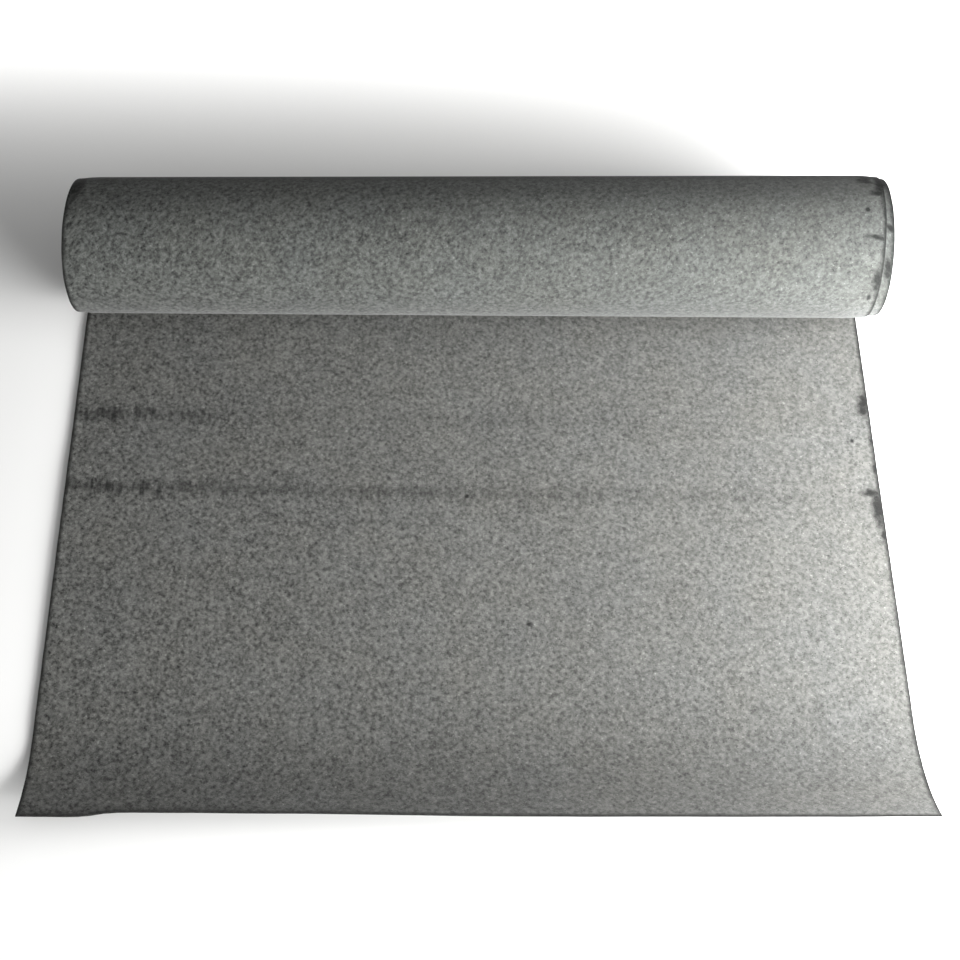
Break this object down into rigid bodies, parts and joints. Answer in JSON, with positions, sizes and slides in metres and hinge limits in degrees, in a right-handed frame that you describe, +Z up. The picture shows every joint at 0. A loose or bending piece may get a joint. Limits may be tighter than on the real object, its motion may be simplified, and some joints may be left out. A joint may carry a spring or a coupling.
{
  "type": "roll of roofing felt",
  "caption": "Part-used roll of mineral-surfaced roofing felt lying on its side, with its first length rolled out flat and the free end curling up.",
  "frame": {"origin": "middle of the underside of the box round the whole roll as it lies, on the ground", "axes": "+X along the roll from its left end to its right end, +Z up, the laid length runs from the roll towards -Y"},
  "size_m": [1, 0.808, 0.177],
  "materials": {
    "felt": "matte"
  },
  "bodies": {
    "root": {"felt": "felt"}
  },
  "joints": []
}
